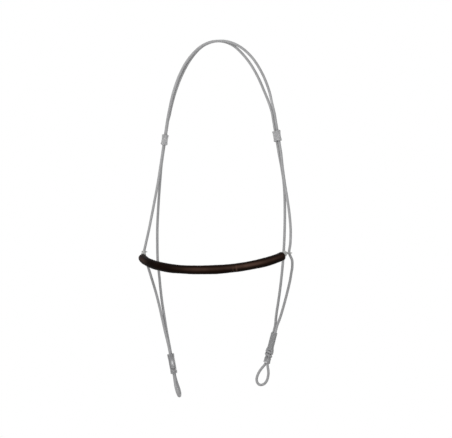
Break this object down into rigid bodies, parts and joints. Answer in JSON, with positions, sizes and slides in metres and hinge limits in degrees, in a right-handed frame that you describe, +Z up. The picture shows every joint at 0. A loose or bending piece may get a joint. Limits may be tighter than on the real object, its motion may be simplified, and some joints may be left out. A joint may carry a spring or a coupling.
{
  "type": "tie-down noseband",
  "caption": "Cord tie-down noseband: a bowed leather tube with cord eyes hung on a doubled crown cord, with sliding keepers and a lashed loop at each lower end.",
  "frame": {"origin": "the point of the crown that lies over the poll, in the middle of the doubled cord", "axes": "+Z up, -Y to the front of the horse's face, +X to the side of the lashed loop"},
  "size_m": [0.2517, 0.1151, 0.573],
  "materials": {
    "cord": "light grey waxed braided cord with a soft sheen",
    "pale_cord": "pale warm grey waxed twine",
    "twine": "grey waxed twine, drawn tight",
    "sleeve": "smooth satin grey sleeve",
    "leather": "very dark brown smooth leather with a soft shine",
    "rope": "plain tan rope, hidden in the leather",
    "thread": "dark brown waxed thread"
  },
  "bodies": {
    "headstall": {"crown_outer_cord": "cord", "crown_inner_cord": "cord"},
    "left_keeper": {"left_cheek_keeper": "sleeve"},
    "right_keeper": {"right_cheek_keeper": "sleeve"},
    "noseband": {"nose_leather_cover": "leather", "nose_rope_core": "rope", "nose_seam_thread": "thread", "left_nose_eye": "pale_cord", "right_nose_eye": "pale_cord", "left_nose_seizing": "pale_cord", "right_nose_seizing": "pale_cord"},
    "left_leg": {"left_front_leg_cord": "cord", "left_rear_leg_cord": "cord", "left_loop_sleeve": "sleeve", "left_end_winding": "twine", "left_tie_down_loop": "cord"},
    "right_leg": {"right_front_leg_cord": "cord", "right_rear_leg_cord": "cord", "right_end_whipping": "twine", "right_end_knot": "twine", "right_loop_collar": "sleeve", "right_tie_down_loop": "cord"}
  },
  "joints": [
    {"name": "left_keeper_slide", "type": "slide", "parent": "headstall", "child": "left_keeper", "axis": [0.1532, 0, 0.9882], "range_m": [-0.01, 0.02]},
    {"name": "right_keeper_slide", "type": "slide", "parent": "headstall", "child": "right_keeper", "axis": [-0.1702, 0, 0.9854], "range_m": [-0.01, 0.02]},
    {"name": "noseband_tilt", "type": "hinge", "parent": "headstall", "child": "noseband", "pos_m": [-0.00045, -0.027, -0.33775], "axis": [1, 0, -0.0062], "range_deg": [-25, 25]},
    {"name": "left_leg_swing", "type": "hinge", "parent": "headstall", "child": "left_leg", "pos_m": [-0.11215, -0.01285, -0.352], "axis": [0.3898, 0.9209, 0], "range_deg": [-25, 10]},
    {"name": "right_leg_swing", "type": "hinge", "parent": "headstall", "child": "right_leg", "pos_m": [0.1133, -0.01305, -0.35], "axis": [0.6337, -0.7736, 0], "range_deg": [-25, 10]}
  ]
}
